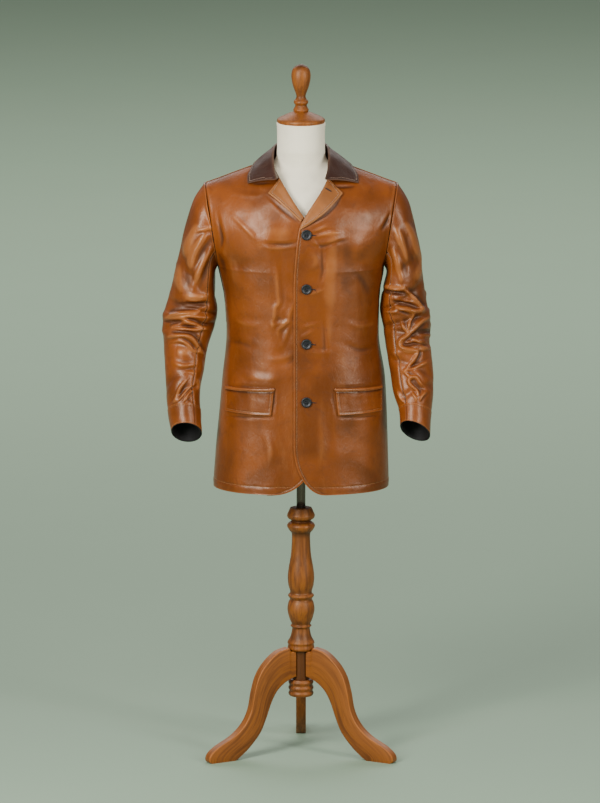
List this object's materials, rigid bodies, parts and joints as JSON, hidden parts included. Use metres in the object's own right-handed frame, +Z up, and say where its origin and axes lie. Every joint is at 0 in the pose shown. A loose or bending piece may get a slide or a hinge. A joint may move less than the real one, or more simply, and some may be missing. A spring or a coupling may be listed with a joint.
{
  "type": "western jacket on a dress form stand",
  "caption": "Hip-length leather jacket with a dark turn-down collar, notched lapels and flap pockets, worn on a limbless dress form on a turned wooden stand with curved legs.",
  "frame": {"origin": "on the floor, under the middle of the whole part's box", "axes": "+Z up, -Y the way the jacket faces, +X the wearer's left"},
  "size_m": [0.6496, 0.4008, 1.679],
  "materials": {
    "leather": "glossy cognac leather, pulled up paler and darker along its folds and edges",
    "facing": "flatter tan leather with stitched edges",
    "collar": "dark brown leather, worn paler along its edges",
    "lining": "black woven lining",
    "button": "near-black four-hole button with a rim",
    "canvas": "off-white cotton cover of the form",
    "wood": "stained and varnished oak, turned and shaped",
    "steel": "dark bronzed tube"
  },
  "bodies": {
    "root": {"front_left": "leather", "front_right": "leather", "back": "leather", "sleeve_top_left": "leather", "sleeve_under_left": "leather", "cuff_left": "leather", "cuff_lining_left": "lining", "sleeve_top_right": "leather", "sleeve_under_right": "leather", "cuff_right": "leather", "cuff_lining_right": "lining", "collar": "collar", "lapel_left": "facing", "lapel_right": "facing", "pocket_welt_left": "leather", "pocket_welt_right": "leather", "pocket_flap_left": "leather", "pocket_flap_right": "leather", "button_1": "button", "button_2": "button", "button_3": "button", "button_4": "button", "form": "canvas", "neck_cap": "wood", "finial": "wood", "pole": "steel", "column": "wood", "leg_right": "wood", "leg_left": "wood", "leg_back": "wood"}
  },
  "joints": []
}
